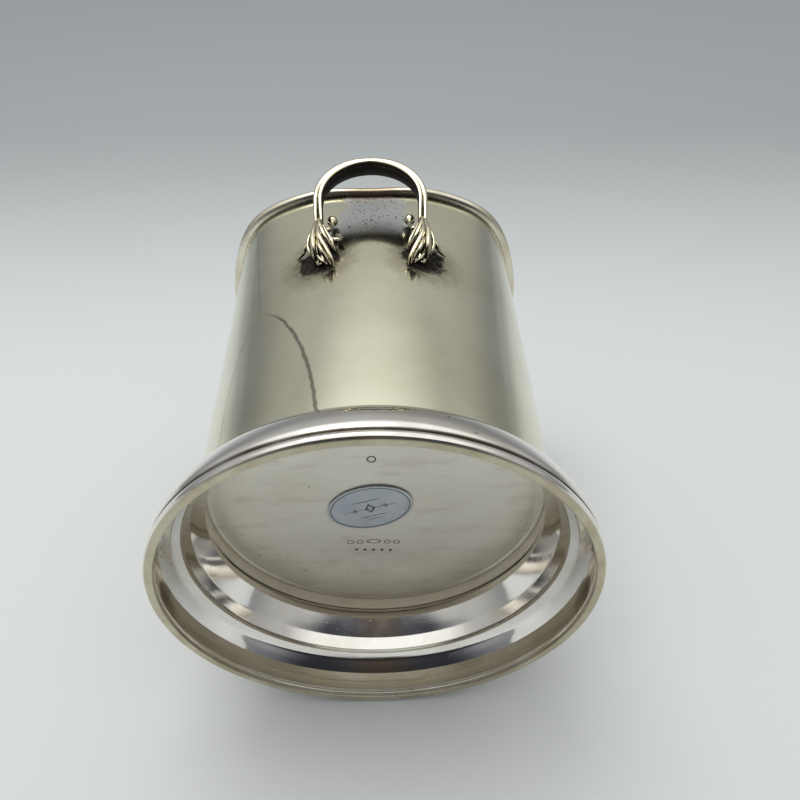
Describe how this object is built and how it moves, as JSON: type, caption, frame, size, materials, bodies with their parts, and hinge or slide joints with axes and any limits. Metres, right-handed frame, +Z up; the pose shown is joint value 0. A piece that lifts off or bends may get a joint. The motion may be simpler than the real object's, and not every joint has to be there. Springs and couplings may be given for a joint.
{
  "type": "champagne bucket",
  "caption": "Tall round silver wine cooler on a spreading moulded foot, with looped bar handles rising from cast leaf mounts.",
  "frame": {"origin": "centre of the flat that the foot stands on, at the bottom of the object", "axes": "+Z up along the bucket's axis; -Y towards the front handle, +Y towards the back handle, +X to the right seen from the front"},
  "size_m": [0.1918, 0.2132, 0.2059],
  "materials": {
    "polished_silver": "silver plate, polished, scratched and lightly tarnished",
    "worn_foot_flat": "silver plate worn to the base metal, dull",
    "oxidised_cast_silver": "cast and silver-plated, dark oxide in the hollows",
    "label_foil": "satin foil-faced sticker"
  },
  "bodies": {
    "root": {"body_wall": "polished_silver", "base_plate": "polished_silver", "foot_spinning": "polished_silver", "foot_edge_wire": "worn_foot_flat", "rim_wire": "polished_silver", "handle_bar_front": "oxidised_cast_silver", "leaf_mount_front_left": "oxidised_cast_silver", "leaf_mount_front_right": "oxidised_cast_silver", "handle_bar_back": "oxidised_cast_silver", "leaf_mount_back_left": "oxidised_cast_silver", "leaf_mount_back_right": "oxidised_cast_silver", "base_label": "label_foil"}
  },
  "joints": []
}
